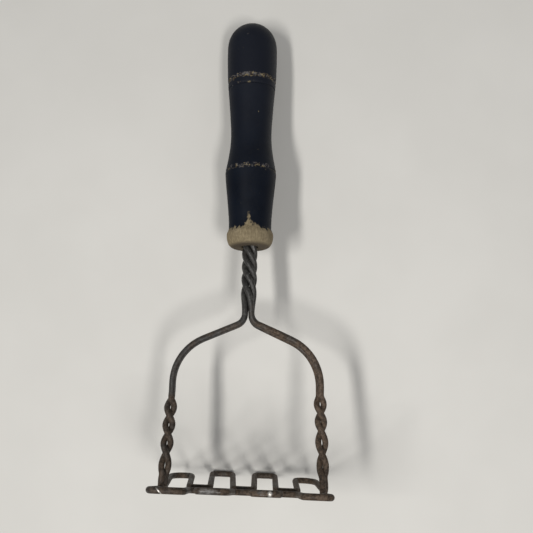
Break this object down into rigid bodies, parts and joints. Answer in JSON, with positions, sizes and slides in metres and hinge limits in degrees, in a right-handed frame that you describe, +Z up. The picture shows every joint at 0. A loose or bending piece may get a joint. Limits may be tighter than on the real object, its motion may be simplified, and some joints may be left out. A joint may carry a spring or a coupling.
{
  "type": "potato masher",
  "caption": "Potato masher with a turned black wooden handle and a twisted steel wire frame, whose foot is bent to and fro into rows of open loops.",
  "frame": {"origin": "centre of the bounding box in X and Y, on the floor the tool lies on", "axes": "+X across the arms towards the right one, +Y from the foot towards the handle's top, +Z up from the floor"},
  "size_m": [0.082, 0.2454, 0.0971],
  "materials": {
    "painted_wood": "satin black paint, worn through to bare wood at the lower end and in the turned rings",
    "steel_wire": "aged brown-grey steel wire with bright worn spots"
  },
  "bodies": {
    "root": {"handle": "painted_wood", "front_wire": "steel_wire", "rear_wire": "steel_wire"}
  },
  "joints": []
}
